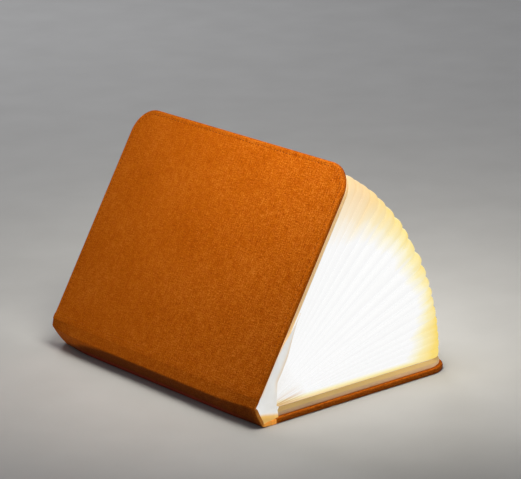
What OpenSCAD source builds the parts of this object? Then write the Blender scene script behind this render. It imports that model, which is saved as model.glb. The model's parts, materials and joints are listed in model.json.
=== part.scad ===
// Folding book lamp. Two cloth-bound covers and a narrow spine hold a fan of
// U-shaped paper pleats; a light bar lies in the spine. Millimetres, +Z up.
// +Y runs along the spine from head to tail, +X from the spine to the
// fore-edge of the cover that lies on the table. The origin is at the middle
// of the whole open lamp's footprint, on the table.

/* [Book] */
// Height of the book, along the spine
book_h = 215; // [190:1:240]
// Width of each cover, from its hinge line to its fore-edge
cover_w = 153; // [140:1:170]
// Thickness of the closed book
book_t = 25; // [25:0.5:28]
// Radius of the two rounded corners of each cover
corner_r = 18.5; // [8:0.5:24]

/* [Open position] */
// How far the lying cover is opened from closed, in degrees
back_open = 31; // [15:1:31]
// How far the standing cover is opened from closed, in degrees
front_open = 28; // [15:1:40]

/* [Covers] */
// Thickness of a bound cover, board and cloth together
cover_t = 3.5; // [3:0.1:4]
// Thickness of the cloth
cloth_t = 0.5; // [0.4:0.1:0.6]
// Width of the cloth hem turned in on the inner face
hem_w = 14; // [10:1:20]
// Distance from the hinge line to where the cover begins
hinge_gap = 2; // [1.5:0.1:2.5]

/* [Trays] */
// Thickness of the moulded tray on each cover's inner face
tray_t = 5.6; // [5:0.1:5.6]
// Distance of the tray's edge inside the cover's edge
tray_inset = 2.4; // [2:0.1:4]
// Distance from the hinge line to the tray
tray_start = 5; // [4.8:0.1:8]
// Wall of the tray
tray_wall = 1.2; // [1:0.1:1.6]
// Diameter of the closing magnets
magnet_d = 12; // [8:0.5:14]
// Thickness of the closing magnets
magnet_t = 3; // [2:0.1:3.4]

/* [Spine] */
// Width of the spine's flat back
flat_w = 15; // [14.6:0.1:15.4]
// Slope of the spine's two wings, from closed cover direction, in degrees
wing_angle = 32; // [31.5:0.5:34]
// Thickness of the lined spine cloth
spine_cloth_t = 0.8; // [0.6:0.1:0.9]
// Thickness of the spine's stiffening board
spine_board_t = 2; // [1.8:0.1:2.2]
// Distance from each end of the book to the stiffening board
spine_board_end = 34; // [20:1:60]

/* [Light bar] */
// Half the width of the light bar
bar_half = 7.9; // [7.7:0.1:8]
// Depth of the light bar's body, measured from the spine's outer face
bar_top = 10.3; // [10:0.1:10.4]
// Wall of the light bar's body
bar_wall = 1.2; // [1:0.1:1.3]
// Distance from each end of the book to the light bar
bar_end = 6.8; // [6.8:0.1:9]
// Number of light-emitting chips
led_n = 12; // [8:1:14]

/* [Pleats] */
// Thickness of a pleat's doubled paper
leaf_t = 0.18; // [0.12:0.01:0.18]
// Distance of the pleats from the head and the tail
leaf_inset = 3.6; // [3:0.1:6]
// Distance from the spine's outer face to the pleats' inner ends
leaf_in = 13.4; // [13.2:0.1:16]
// How far the pleats stay behind the covers' fore-edge
leaf_back = 4; // [3:0.1:8]
// Depth of a pleat fold
leaf_depth = 28; // [20:1:34]
// Radius of a pleat's outer corner
leaf_r = 9; // [5:0.5:14]

/* [Hidden] */
side_n = 10;                       // pleats on each side of the middle
half_t = book_t / 2;
wing_len = (half_t - flat_w / 2) / sin(wing_angle);
hinge_d = wing_len * cos(wing_angle);       // depth of the hinge lines
// unit vectors of the spine in the X-Z plane, and its outer middle with the
// lying cover's hinge line at x = 0, z = 0
dx = cos(back_open);
dz = sin(back_open);
mx = -half_t * dz - hinge_d * dx;
mz = half_t * dx - hinge_d * dz;
// the standing cover's hinge line and direction
fold = back_open + front_open;
px = mx - half_t * dz + hinge_d * dx;
pz = mz + half_t * dx + hinge_d * dz;
// lowest and highest x of the whole lamp: the spine's upper corner, the
// lying cover's fore-edge
x_low = mx - flat_w / 2 * dz;
x_high = cover_w;
x_mid = (x_low + x_high) / 2;
paper_t = 0.15;
stack = half_t - cover_t - tray_t - paper_t;
pitch = (stack - 0.1) / side_n;
leaf_out = hinge_d + cover_w - leaf_back;
bar_len = book_h - 2 * bar_end;
cap_t = 1.5;
eps = 0.01;

// ---------- frames ----------
// The lying cover: x from its hinge line, z up from its outer face.
module back_frame() { translate([-x_mid, -book_h / 2, 0]) children(); }

// The standing cover: the same local axes, z from its outer face inwards.
module front_frame() {
  translate([px - x_mid, -book_h / 2, pz])
    rotate([0, -fold, 0]) mirror([0, 0, 1]) children();
}

// The spine: x is the depth into the book, z runs towards the standing cover.
module spine_frame() {
  translate([mx - x_mid, -book_h / 2, mz]) rotate([0, -back_open, 0])
    children();
}

// A plate or bar drawn as a section in the spine's depth and width, and
// extruded along the spine from y0 to y1.
module along(y0, y1) {
  translate([0, y1, 0]) rotate([90, 0, 0]) linear_extrude(y1 - y0) children();
}

// A cover outline: straight at the hinge, rounded at the fore-edge.
module cover_outline(x0, x1, y0, y1, r) {
  translate([x0, y0]) square([x1 - r - x0, y1 - y0]);
  translate([x1 - r - eps, y0 + r]) square([r + eps, y1 - y0 - 2 * r]);
  for (y = [y0 + r, y1 - r]) translate([x1 - r, y]) circle(r, $fn = 96);
}

// ---------- covers ----------
module board() {
  color([0.62, 0.56, 0.47])
    translate([0, 0, cloth_t])
      linear_extrude(cover_t - 2 * cloth_t)
        cover_outline(hinge_gap + cloth_t, cover_w - cloth_t, cloth_t,
          book_h - cloth_t, corner_r - cloth_t);
}

module cover_cloth() {
  color([0.74, 0.42, 0.13])
    difference() {
      linear_extrude(cover_t)
        cover_outline(hinge_gap, cover_w, 0, book_h, corner_r);
      translate([0, 0, cloth_t])
        linear_extrude(cover_t - 2 * cloth_t)
          cover_outline(hinge_gap + cloth_t, cover_w - cloth_t, cloth_t,
            book_h - cloth_t, corner_r - cloth_t);
      translate([0, 0, cover_t - 2 * cloth_t])
        linear_extrude(3 * cloth_t)
          cover_outline(hinge_gap + hem_w, cover_w - hem_w, hem_w,
            book_h - hem_w, max(corner_r - hem_w, 2));
    }
}

// magnets near the fore-edge corners
mag_x = cover_w - tray_inset - 17;
mag_y = [30, book_h - 30];
// the sensor's magnet and switch, along the spine
sensor_y = bar_end + 91;

module tray() {
  x0 = tray_start;
  x1 = cover_w - tray_inset;
  y0 = tray_inset;
  y1 = book_h - tray_inset;
  n = 4;      // pockets across
  m = 5;      // pockets along
  w = (x1 - x0 - (n + 1) * 2) / n;
  h = (y1 - y0 - (m + 1) * 2) / m;
  deep = tray_t - tray_wall;
  color([0.90, 0.84, 0.72])
    translate([0, 0, cover_t])
      difference() {
        linear_extrude(tray_t)
          cover_outline(x0, x1, y0, y1, corner_r - tray_inset);
        // pockets that hollow the tray on the board side, clear of the
        // magnets' seats
        difference() {
          translate([0, 0, -1])
            linear_extrude(deep + 1)
              intersection() {
                for (i = [0:n - 1], j = [0:m - 1])
                  translate([x0 + 2 + i * (w + 2), y0 + 2 + j * (h + 2)])
                    square([w, h]);
                cover_outline(x0 + 2, x1 - 2, y0 + 2, y1 - 2,
                  corner_r - tray_inset - 2);
              }
          for (y = mag_y)
            translate([mag_x, y, -2]) cylinder(tray_t + 4, r = magnet_d / 2 + 2, $fn = 64);
          translate([tray_start + 4.5, sensor_y, -2])
            cylinder(tray_t + 4, r = 4, $fn = 48);
        }
        for (y = mag_y)
          translate([mag_x, y, -1])
            cylinder(magnet_t + 1.1, r = magnet_d / 2 + 0.1, $fn = 64);
        translate([tray_start + 4.5, sensor_y, -1])
          cylinder(3.1, r = 2.6, $fn = 48);
      }
}

module magnets() {
  color([0.72, 0.73, 0.75])
    for (y = mag_y)
      translate([mag_x, y, cover_t]) cylinder(magnet_t, r = magnet_d / 2, $fn = 64);
}

module end_paper() {
  color([0.97, 0.96, 0.92])
    translate([0, 0, cover_t + tray_t])
      linear_extrude(paper_t)
        cover_outline(tray_start + 1.5, cover_w - tray_inset - 1.5,
          tray_inset + 1.5, book_h - tray_inset - 1.5,
          corner_r - tray_inset - 1.5);
}

module back_board() { back_frame() board(); }
module back_cloth() { back_frame() cover_cloth(); }
module back_tray() { back_frame() tray(); }
module back_magnets() { back_frame() magnets(); }
module back_end_paper() { back_frame() end_paper(); }
module sensor_magnet() {
  back_frame() color([0.72, 0.73, 0.75])
    translate([tray_start + 4.5, sensor_y, cover_t]) cylinder(2, r = 2.5, $fn = 48);
}
module front_board() { front_frame() board(); }
module front_cloth() { front_frame() cover_cloth(); }
module front_tray() { front_frame() tray(); }
module front_magnets() { front_frame() magnets(); }
module front_end_paper() { front_frame() end_paper(); }

// ---------- spine ----------
// Sections are drawn with x = depth, y = width towards the standing cover.
wx = cos(wing_angle);
wy = sin(wing_angle);
wing_ix = spine_cloth_t;
wing_iy = flat_w / 2 + spine_cloth_t * wy / wx - spine_cloth_t / wx;
we_x = hinge_d - hinge_gap * wx;     // outer end of a wing
we_y = half_t - hinge_gap * wy;

module spine_cloth() {
  spine_frame() color([0.70, 0.38, 0.11])
    along(0, book_h)
      polygon([
        [0, -flat_w / 2], [0, flat_w / 2], [we_x, we_y],
        [we_x + spine_cloth_t * wy, we_y - spine_cloth_t * wx],
        [wing_ix, wing_iy], [wing_ix, -wing_iy],
        [we_x + spine_cloth_t * wy, -we_y + spine_cloth_t * wx],
        [we_x, -we_y]
      ]);
}

module spine_board() {
  spine_frame() color([0.62, 0.56, 0.47])
    translate([spine_cloth_t, spine_board_end, -wing_iy + 0.15])
      cube([spine_board_t, book_h - 2 * spine_board_end, 2 * wing_iy - 0.3]);
}

bar_low = spine_cloth_t + spine_board_t;
module bar_section(g) {
  polygon([
    [bar_low + g, -(6.9 - g * 0.8)], [bar_low + g, 6.9 - g * 0.8],
    [bar_low + 1.4 + g * 0.5, bar_half - g], [bar_top, bar_half - g],
    [bar_top, -(bar_half - g)], [bar_low + 1.4 + g * 0.5, -(bar_half - g)]
  ]);
}

screw_x = 8.6;
screw_y = 5.4;
socket_x = bar_low + bar_wall + 1;
pipe_x = socket_x + 3.9;

module bar_body() {
  spine_frame() color([0.93, 0.93, 0.90])
    difference() {
      union() {
        difference() {
          along(bar_end, book_h - bar_end) bar_section(0);
          translate([0, bar_end - 1, 0])
            along(0, bar_len + 2)
              intersection() {
                bar_section(bar_wall);
                translate([0, -20]) square([bar_top - 0, 40]);
              }
        }
        // ledges that carry the board with the chips
        for (s = [-1, 1])
          translate([bar_low + 4.2, bar_end + 7, s > 0 ? bar_half - bar_wall - 1 : -bar_half + bar_wall - 0.2])
            cube([1.2, bar_len - 14, 1.2]);
        // bosses for the end caps' screws
        for (s = [-1, 1], y = [bar_end, book_h - bar_end - 6])
          translate([screw_x, y + 6, s * screw_y]) rotate([90, 0, 0])
            cylinder(6, r = 1.5, $fn = 40);
      }
      for (s = [-1, 1], y = [bar_end, book_h - bar_end - 6])
        translate([screw_x, y + 6.5, s * screw_y]) rotate([90, 0, 0])
          cylinder(7, r = 0.85, $fn = 32);
    }
}

module bar_diffuser() {
  spine_frame() color([1, 0.98, 0.90])
    along(bar_end, book_h - bar_end)
      union() {
        translate([bar_top, -bar_half]) square([0.9, 2 * bar_half]);
        intersection() {
          translate([bar_top + 1.9 - 22, 0]) circle(22, $fn = 120);
          translate([bar_top + 0.4, -bar_half + 1]) square([3, 2 * bar_half - 2]);
        }
      }
}

module end_cap(tail) {
  y0 = tail ? book_h - bar_end : bar_end - cap_t;
  color([0.93, 0.93, 0.90])
    difference() {
      along(y0, y0 + cap_t)
        union() {
          bar_section(0);
          translate([bar_top - eps, -bar_half]) square([0.9 + eps, 2 * bar_half]);
        }
      for (s = [-1, 1])
        translate([screw_x, y0 + cap_t + 1, s * screw_y]) rotate([90, 0, 0])
          cylinder(cap_t + 2, r = 0.95, $fn = 32);
      if (tail) {
        translate([socket_x - 0.2, y0 - 1, -3.95]) cube([3, cap_t + 2, 7.9]);
        translate([pipe_x, y0 + cap_t + 1, 0]) rotate([90, 0, 0])
          cylinder(cap_t + 2, r = 1, $fn = 32);
      }
    }
}
module head_cap() { spine_frame() end_cap(false); }
module tail_cap() { spine_frame() end_cap(true); }

module cap_screws() {
  spine_frame() color([0.55, 0.56, 0.58])
    for (s = [-1, 1], t = [0, 1])
      translate([screw_x, t == 0 ? bar_end : book_h - bar_end, s * screw_y])
        rotate([t == 0 ? 90 : -90, 0, 0])
          difference() {
            union() {
              translate([0, 0, -4.5]) cylinder(4.5 + cap_t, r = 0.8, $fn = 32);
              translate([0, 0, cap_t]) cylinder(0.8, r = 1.5, $fn = 40);
            }
            translate([0, 0, cap_t + 0.4])
              for (a = [0, 90]) rotate(a) translate([-0.9, -0.15, 0]) cube([1.8, 0.3, 1]);
          }
}

led_x = bar_low + 5.4;
module led_board() {
  spine_frame() color([0.95, 0.95, 0.93])
    translate([led_x, bar_end + 7, -bar_half + bar_wall + 0.15])
      cube([0.8, bar_len - 14, 2 * (bar_half - bar_wall) - 0.3]);
}

module led_chips() {
  step = (bar_len - 40) / (led_n - 1);
  spine_frame() color([1, 0.86, 0.45])
    for (i = [0:led_n - 1])
      translate([led_x + 0.8, bar_end + 20 + i * step - 1.75, -1.4])
        cube([0.7, 3.5, 2.8]);
}

module battery_cells() {
  spine_frame() color([0.30, 0.45, 0.62])
    for (i = [0, 1])
      translate([bar_low + bar_wall + 0.1, bar_end + 12 + i * 88, -5])
        cube([2.9, 70, 10]);
}

module charge_board() {
  spine_frame() color([0.10, 0.36, 0.20])
    translate([bar_low + bar_wall + 0.1, book_h - bar_end - 26, -4.6])
      cube([0.9, 26, 9.2]);
}

module usb_socket() {
  x0 = socket_x;
  spine_frame() color([0.78, 0.79, 0.81])
    difference() {
      translate([x0, book_h - bar_end - 4.6, -3.75]) cube([2.6, 4.6 + cap_t, 7.5]);
      translate([x0 + 0.3, book_h - bar_end - 3.6, -3.45]) cube([2, 6, 6.9]);
    }
}

module indicator_pipe() {
  spine_frame() color([0.90, 0.95, 1.0])
    translate([pipe_x, book_h - bar_end + cap_t, 0]) rotate([90, 0, 0])
      cylinder(cap_t + 1.8, r = 0.95, $fn = 32);
}

module reed_switch() {
  spine_frame() color([0.55, 0.75, 0.70])
    translate([bar_low + bar_wall + 1.6, sensor_y + 7, -3.6]) rotate([90, 0, 0])
      cylinder(14, r = 1, $fn = 32);
}

module lead_wires() {
  spine_frame() color([0.70, 0.12, 0.10])
    for (s = [-1, 1])
      translate([bar_low + bar_wall + 3.6, book_h - bar_end - 8, s * 2]) rotate([90, 0, 0])
        cylinder(bar_len - 24, r = 0.5, $fn = 24);
}

// ---------- cloth hinges and end gussets ----------
// The cloth between a wing and a cover, bent at the hinge line. ang is the
// cover's direction from the closed one; drawn for the standing side.
module hinge_strip(ang) {
  cx = cos(ang);
  cy = sin(ang);
  t = cloth_t;
  polygon([
    [hinge_d - hinge_gap * wx, half_t - hinge_gap * wy],
    [hinge_d, half_t],
    [hinge_d + hinge_gap * cx, half_t + hinge_gap * cy],
    [hinge_d + hinge_gap * cx + t * cy, half_t + hinge_gap * cy - t * cx],
    [hinge_d + t * (wy + cy) / 2, half_t - t * (wx + cx) / 2],
    [hinge_d - hinge_gap * wx + t * wy, half_t - hinge_gap * wy - t * wx]
  ]);
}

module front_hinge_cloth() {
  spine_frame() color([0.70, 0.38, 0.11])
    along(0, book_h) hinge_strip(front_open);
}

module back_hinge_cloth() {
  spine_frame() color([0.70, 0.38, 0.11])
    along(0, book_h) mirror([0, 1]) hinge_strip(back_open);
}

// A point of the section that turns with a cover by ang about its hinge:
// l and d as in the closed book. side is 1 or -1.
function turned(l, d, ang, side) = [
  hinge_d + (d - hinge_d) * cos(ang) - (l - half_t) * sin(ang),
  side * (half_t + (l - half_t) * cos(ang) + (d - hinge_d) * sin(ang))
];

// The end gusset closes the bellows between the spine's cloth and the
// trays' ends, in front of the light bar's cap. Drawn as one half.
module gusset_half(ang) {
  li = half_t - cover_t - tray_t;
  lc = half_t - cover_t - 0.3;
  polygon([
    [bar_low + 0.2, 0],
    [bar_low + 0.2, wing_iy + 0.9],
    [we_x + 0.6, we_y - 1.1],
    [hinge_d + 0.4, half_t - 1.1],
    turned(lc, hinge_d + hinge_gap - 0.3, ang, 1),
    turned(lc, hinge_d + tray_start - 0.4, ang, 1),
    turned(li + 0.5, hinge_d + tray_start - 0.7, ang, 1),
    [leaf_in - 0.5, 0]
  ]);
}
module gusset(y0) {
  along(y0, y0 + 0.3) {
    gusset_half(front_open);
    mirror([0, 1]) gusset_half(back_open);
  }
}
gusset_y = bar_end - cap_t - 1.2;
module head_gusset() {
  spine_frame() color([0.98, 0.96, 0.90]) gusset(gusset_y);
}
// at the tail it leaves the cap with the charging socket free
module tail_gusset() {
  spine_frame() color([0.98, 0.96, 0.90])
    difference() {
      gusset(book_h - gusset_y - 0.3);
      along(book_h - gusset_y - 1, book_h - gusset_y + 1)
        translate([0, -bar_half - 0.2]) square([bar_top + 1.1, 2 * bar_half + 0.4]);
    }
}

// ---------- pleats ----------
function arc(cx, cy, r, a0, a1, n) =
  [for (i = [0:n]) let (a = a0 + (a1 - a0) * i / n) [cx + r * cos(a), cy + r * sin(a)]];

// One pleat: a flat U of doubled paper, open towards the spine, with three
// chamfer facets on each outer corner.
module leaf_shape() {
  y0 = leaf_inset;
  y1 = book_h - leaf_inset;
  d = leaf_depth;
  r = leaf_r;
  polygon(concat(
    [[leaf_in, y0]],
    arc(leaf_out - r, y0 + r, r, -90, 0, 3),
    arc(leaf_out - r, y1 - r, r, 0, 90, 3),
    [[leaf_in, y1], [leaf_in, y1 - d], [leaf_out - d, y1 - d],
      [leaf_out - d, y0 + d], [leaf_in, y0 + d]]
  ));
}

// Pleats 1 to 10 belong to the standing cover's half, counted from the
// cover to the middle, and 11 to 20 to the lying cover's half, counted from
// the middle to the cover.
module pleat(i) {
  side = i <= side_n ? 1 : -1;
  k = i <= side_n ? side_n + 1 - i : i - side_n;
  w = (k - 0.5) / side_n;
  a = w * (side > 0 ? front_open : back_open);
  spine_frame()
    mirror([0, 0, side > 0 ? 0 : 1])
      translate([hinge_d, 0, half_t]) rotate([0, -a, 0])
        translate([-hinge_d, 0, -half_t])
          color([0.98, 0.95, 0.86])
            translate([0, 0, pitch * (k - 0.5) - leaf_t / 2])
              linear_extrude(leaf_t) leaf_shape();
}

back_board();
back_cloth();
back_tray();
back_magnets();
back_end_paper();
sensor_magnet();
front_board();
front_cloth();
front_tray();
front_magnets();
front_end_paper();
spine_cloth();
spine_board();
bar_body();
bar_diffuser();
head_cap();
tail_cap();
cap_screws();
led_board();
led_chips();
battery_cells();
charge_board();
usb_socket();
indicator_pipe();
reed_switch();
lead_wires();
back_hinge_cloth();
front_hinge_cloth();
head_gusset();
tail_gusset();
pleat(1);  // pleat_01
pleat(2);  // pleat_02
pleat(3);  // pleat_03
pleat(4);  // pleat_04
pleat(5);  // pleat_05
pleat(6);  // pleat_06
pleat(7);  // pleat_07
pleat(8);  // pleat_08
pleat(9);  // pleat_09
pleat(10);  // pleat_10
pleat(11);  // pleat_11
pleat(12);  // pleat_12
pleat(13);  // pleat_13
pleat(14);  // pleat_14
pleat(15);  // pleat_15
pleat(16);  // pleat_16
pleat(17);  // pleat_17
pleat(18);  // pleat_18
pleat(19);  // pleat_19
pleat(20);  // pleat_20
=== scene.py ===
import bpy, json, math
import numpy as np
from mathutils import Vector, Matrix


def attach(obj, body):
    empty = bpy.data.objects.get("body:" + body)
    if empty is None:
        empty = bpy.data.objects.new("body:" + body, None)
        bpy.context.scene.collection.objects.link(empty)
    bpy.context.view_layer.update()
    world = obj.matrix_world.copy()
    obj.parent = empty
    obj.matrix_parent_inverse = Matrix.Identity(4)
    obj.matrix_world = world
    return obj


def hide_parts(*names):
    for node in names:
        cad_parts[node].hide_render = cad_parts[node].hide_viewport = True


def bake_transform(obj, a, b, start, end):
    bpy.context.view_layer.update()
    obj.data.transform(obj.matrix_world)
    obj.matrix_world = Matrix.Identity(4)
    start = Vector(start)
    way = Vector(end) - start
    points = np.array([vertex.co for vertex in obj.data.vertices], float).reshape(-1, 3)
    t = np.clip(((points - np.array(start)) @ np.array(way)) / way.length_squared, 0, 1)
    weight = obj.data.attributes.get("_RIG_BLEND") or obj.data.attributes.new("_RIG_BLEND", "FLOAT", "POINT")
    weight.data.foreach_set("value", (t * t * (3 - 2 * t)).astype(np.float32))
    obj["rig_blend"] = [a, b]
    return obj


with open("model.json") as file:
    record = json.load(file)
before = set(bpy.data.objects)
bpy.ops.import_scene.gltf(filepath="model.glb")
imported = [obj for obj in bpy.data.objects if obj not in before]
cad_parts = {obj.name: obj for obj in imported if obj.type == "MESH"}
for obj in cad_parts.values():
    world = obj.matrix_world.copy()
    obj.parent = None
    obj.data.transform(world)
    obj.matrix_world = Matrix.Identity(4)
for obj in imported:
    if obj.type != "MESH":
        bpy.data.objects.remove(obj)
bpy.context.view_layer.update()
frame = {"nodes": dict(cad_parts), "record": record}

NODES = frame["nodes"]

# ------------------------------------------------------------------ sizes, mm
H, W, T = 215.0, 153.0, 25.0
RC, GAP, CT = 18.5, 2.0, 3.5
BO, FO, WA = math.radians(31), math.radians(28), math.radians(32)
FLAT, WALL, CLOTH = 15.0, 0.8, 0.5
TS, TI, TT = 5.0, 2.4, 5.6
HALF = T / 2
HD = (HALF - FLAT / 2) / math.tan(WA)
CB, SB = math.cos(BO), math.sin(BO)
MX, MZ = -HALF * SB - HD * CB, HALF * CB - HD * SB
PX, PZ = MX - HALF * SB + HD * CB, MZ + HALF * CB + HD * SB
XM = ((MX - FLAT / 2 * SB) + W) / 2
FOLD = BO + FO
CF, SF = math.cos(FOLD), math.sin(FOLD)
WX, WY = math.cos(WA), math.sin(WA)
LEAF_IN, LEAF_Y, LEAF_OUT, LEAF_D, LEAF_R = 13.4, 3.6, HD + W - 4.0, 28.0, 9.0


def spine_pt(d, y, l):
    """A point of the spine: depth into the book, along the spine, towards the standing cover."""
    return (MX - XM + d * CB - l * SB, y - H / 2, MZ + d * SB + l * CB)


def back_pt(x, y, z):
    """A point of the lying cover: from its hinge line, along it, up from its outer face."""
    return (x - XM, y - H / 2, z)


def front_pt(x, y, z):
    """A point of the standing cover, z from its outer face inwards."""
    return (PX - XM + x * CF + z * SF, y - H / 2, PZ + x * SF - z * CF)


def wing(a, b):
    """A point of the wing's section, a from its hinge line, b inwards."""
    return (HD - a * WX + b * WY, HALF - a * WY - b * WX)


def turned(l, d, ang, side):
    return (HD + (d - HD) * math.cos(ang) - (l - HALF) * math.sin(ang),
            side * (HALF + (l - HALF) * math.cos(ang) + (d - HD) * math.sin(ang)))


def smooth(t):
    t = min(1.0, max(0.0, t))
    return t * t * (3 - 2 * t)


def wave(k, t):
    """A gentle repeatable unevenness between about -1 and 1."""
    return (math.sin(t * 1.0 + k * 2.399) * 0.5 + math.sin(t * 2.3 + k * 4.1 + 1.3) * 0.3
            + math.sin(t * 4.9 + k * 7.7 + 0.4) * 0.2)


# ------------------------------------------------------------------- meshes
def make(name, verts, faces, mat, loc=None, glow=None, sharp=40, weights=None):
    me = bpy.data.meshes.new(name)
    me.from_pydata([(x / 1000, y / 1000, z / 1000) for x, y, z in verts], [], faces)
    for key, values in (("loc", loc), ("glow", glow)):
        if values is not None:
            a = me.attributes.new(key, "FLOAT_VECTOR", "POINT")
            a.data.foreach_set("vector", np.array(values, np.float32).ravel())
    me.validate()
    me.update()
    import bmesh
    bm = bmesh.new()
    bm.from_mesh(me)
    bmesh.ops.recalc_face_normals(bm, faces=bm.faces)
    bm.to_mesh(me)
    bm.free()
    me.shade_smooth()
    me.set_sharp_from_angle(angle=math.radians(sharp))
    o = bpy.data.objects.new(name, me)
    bpy.context.scene.collection.objects.link(o)
    me.materials.append(mat)
    return o


def set_weights(o, weights):
    a = o.data.attributes["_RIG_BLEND"]
    a.data.foreach_set("value", np.array(weights, np.float32))


def grid_faces(nu, nv, base=0, loop_u=False, loop_v=False):
    """Quads of a grid of nu rows of nv points."""
    out = []
    for i in range(nu if loop_u else nu - 1):
        for j in range(nv if loop_v else nv - 1):
            a = base + i * nv + j
            b = base + ((i + 1) % nu) * nv + j
            c = base + ((i + 1) % nu) * nv + (j + 1) % nv
            d = base + i * nv + (j + 1) % nv
            out.append((a, b, c, d))
    return out


def outline(x0, x1, y0, y1, r, n=14, step=6.0):
    """Points round a cover: the hinge side straight, the fore-edge corners rounded. Each is x, y, nx, ny, hinge."""
    pts = []
    xs = np.linspace(x0, x1 - r, 26)
    for x in xs[:-1]:
        pts.append((x, y0, 0.0, -1.0, x == xs[0]))
    for i in range(n + 1):
        a = -math.pi / 2 + i * math.pi / 2 / n
        pts.append((x1 - r + r * math.cos(a), y0 + r + r * math.sin(a), math.cos(a), math.sin(a), False))
    ys = np.linspace(y0 + r, y1 - r, 34)
    for y in ys[1:-1]:
        pts.append((x1, y, 1.0, 0.0, False))
    for i in range(n + 1):
        a = i * math.pi / 2 / n
        pts.append((x1 - r + r * math.cos(a), y1 - r + r * math.sin(a), math.cos(a), math.sin(a), False))
    for x in xs[::-1][1:]:
        pts.append((x, y1, 0.0, 1.0, x == xs[0]))
    hs = np.linspace(y1, y0, 38)
    for y in hs[1:-1]:
        pts.append((x0, y, -1.0, 0.0, True))
    return pts


# ---------------------------------------------------------------- materials
class Mat:
    def __init__(self, name):
        self.m = bpy.data.materials.new(name)
        self.m.use_nodes = True
        self.t = self.m.node_tree
        self.t.nodes.clear()
        self.out = self.t.nodes.new("ShaderNodeOutputMaterial")
        self.b = self.t.nodes.new("ShaderNodeBsdfPrincipled")
        self.t.links.new(self.b.outputs[0], self.out.inputs[0])

    def node(self, kind, **props):
        n = self.t.nodes.new(kind)
        for k, v in props.items():
            setattr(n, k, v)
        return n

    def link(self, a, b):
        self.t.links.new(a, b)

    def put(self, sock, v):
        if hasattr(v, "is_output"):
            self.t.links.new(v, sock)
        else:
            sock.default_value = v

    def attr(self, name):
        return self.node("ShaderNodeAttribute", attribute_name=name, attribute_type="GEOMETRY").outputs["Vector"]

    def object_mm(self):
        tc = self.node("ShaderNodeTexCoord")
        return self.vec("SCALE", tc.outputs["Object"], scale=1000.0)

    def vec(self, op, a, b=None, scale=None):
        n = self.node("ShaderNodeVectorMath", operation=op)
        self.put(n.inputs[0], a)
        if b is not None:
            self.put(n.inputs[1], b)
        if scale is not None:
            self.put(n.inputs["Scale"], scale)
        return n.outputs["Value"] if op in ("LENGTH", "DOT_PRODUCT") else n.outputs["Vector"]

    def math(self, op, a, b=None, c=None, clamp=False):
        n = self.node("ShaderNodeMath", operation=op, use_clamp=clamp)
        for i, v in enumerate((a, b, c)):
            if v is not None:
                self.put(n.inputs[i], v)
        return n.outputs[0]

    def sep(self, v):
        n = self.node("ShaderNodeSeparateXYZ")
        self.put(n.inputs[0], v)
        return n.outputs[0], n.outputs[1], n.outputs[2]

    def comb(self, x, y, z):
        n = self.node("ShaderNodeCombineXYZ")
        for i, v in enumerate((x, y, z)):
            self.put(n.inputs[i], v)
        return n.outputs[0]

    def noise(self, v, scale=1.0, detail=2.0, rough=0.5, distort=0.0):
        n = self.node("ShaderNodeTexNoise")
        self.put(n.inputs["Vector"], v)
        n.inputs["Scale"].default_value = scale
        n.inputs["Detail"].default_value = detail
        n.inputs["Roughness"].default_value = rough
        n.inputs["Distortion"].default_value = distort
        return n.outputs["Fac"]

    def ramp(self, f, stops, interp="LINEAR"):
        n = self.node("ShaderNodeValToRGB")
        self.put(n.inputs[0], f)
        e = n.color_ramp.elements
        n.color_ramp.interpolation = interp
        while len(e) < len(stops):
            e.new(0.5)
        for el, (p, c) in zip(e, stops):
            el.position = p
            el.color = (*c, 1.0)
        return n.outputs["Color"]

    def mapr(self, v, a, b, c, d, clamp=True):
        n = self.node("ShaderNodeMapRange", clamp=clamp)
        self.put(n.inputs[0], v)
        for i, x in zip((1, 2, 3, 4), (a, b, c, d)):
            n.inputs[i].default_value = x
        return n.outputs[0]

    def mix(self, f, a, b, kind="MIX"):
        n = self.node("ShaderNodeMix", data_type="RGBA", blend_type=kind)
        self.put(n.inputs[0], f)
        self.put(n.inputs[6], a if hasattr(a, "is_output") else (*a, 1.0))
        self.put(n.inputs[7], b if hasattr(b, "is_output") else (*b, 1.0))
        return n.outputs[2]

    def bump(self, h, distance, strength=1.0):
        n = self.node("ShaderNodeBump")
        n.inputs["Strength"].default_value = strength
        n.inputs["Distance"].default_value = distance
        self.put(n.inputs["Height"], h)
        self.link(n.outputs[0], self.b.inputs["Normal"])


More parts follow.
